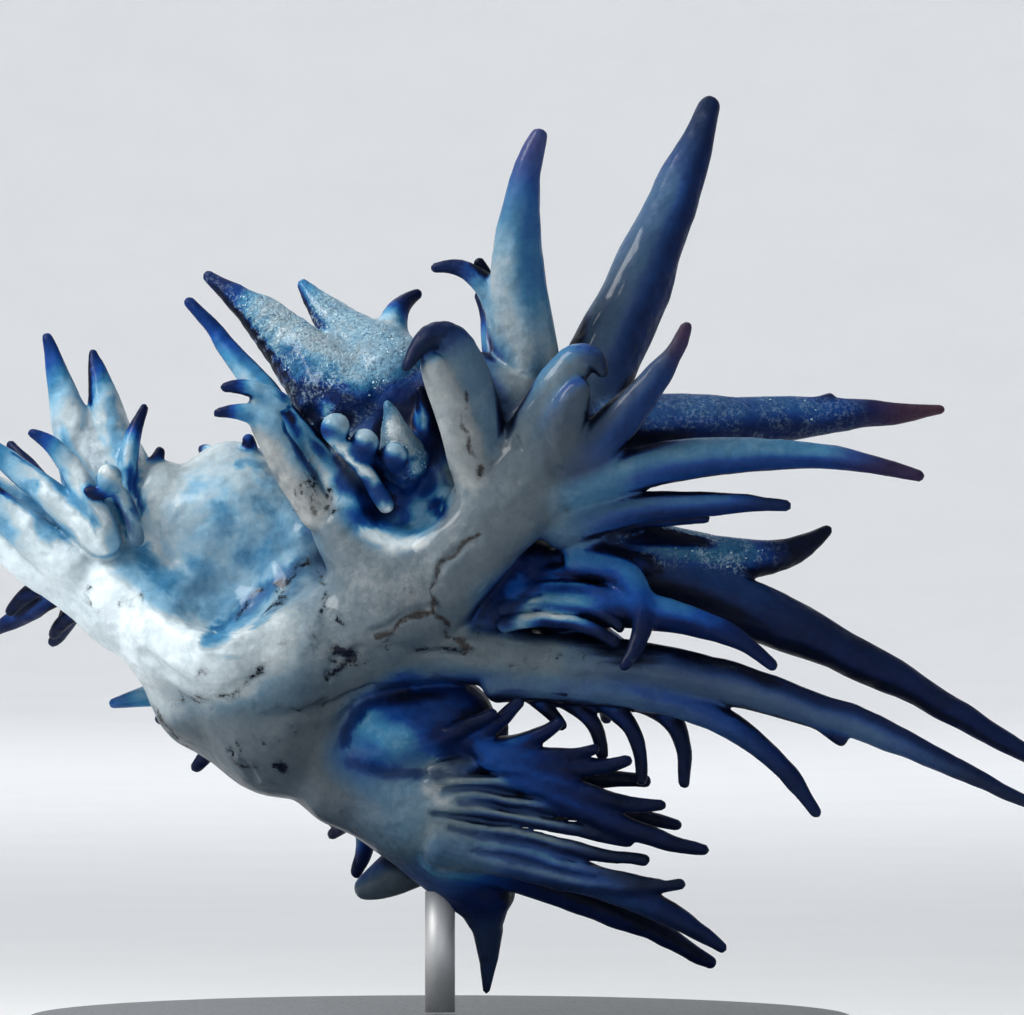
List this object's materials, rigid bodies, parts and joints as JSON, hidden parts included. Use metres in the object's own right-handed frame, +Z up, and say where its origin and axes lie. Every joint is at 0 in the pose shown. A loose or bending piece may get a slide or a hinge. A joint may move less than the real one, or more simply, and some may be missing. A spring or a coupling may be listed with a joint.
{
  "type": "blue dragon sea slug",
  "caption": "Life-size still model of a blue dragon sea slug, arms spread with crowded finger-like cerata, held up on a plain round base by a short rod.",
  "frame": {"origin": "centre of the underside of the stand's round base", "axes": "+Z up, towards the head end of the animal; +X towards the tips of its right arms; -Y the side that its silver back faces"},
  "size_m": [0.0349, 0.025, 0.0302],
  "materials": {
    "silver_skin": "wet, softly glossy silver-grey skin with small dark cracks",
    "pale_blue_skin": "wet pale blue skin with darker blue mottling",
    "cobalt_skin": "glossy cobalt blue skin of the underside",
    "cerata_skin": "silver-grey above, blue below, with dark blue tips",
    "stand_base": "satin dark grey paint",
    "stand_rod": "bright drawn wire"
  },
  "bodies": {
    "root": {"head": "pale_blue_skin", "oral_tentacle_left": "cerata_skin", "oral_tentacle_right": "cerata_skin", "rhinophore_left": "cerata_skin", "rhinophore_right": "cerata_skin", "neck": "pale_blue_skin", "trunk_front": "silver_skin", "trunk_middle": "silver_skin", "trunk_rear": "silver_skin", "foot": "cobalt_skin", "tail": "cerata_skin", "arm_front_right": "silver_skin", "arm_middle_right": "silver_skin", "arm_rear_right": "cobalt_skin", "arm_front_left": "silver_skin", "arm_middle_left": "cobalt_skin", "arm_rear_left": "cobalt_skin", "fan_front_right": "cerata_skin", "fan_middle_right": "cerata_skin", "fan_rear_right": "cerata_skin", "fan_front_left": "cerata_skin", "fan_middle_left": "cerata_skin", "fan_rear_left": "cerata_skin", "stand_base": "stand_base", "stand_rod": "stand_rod"}
  },
  "joints": []
}
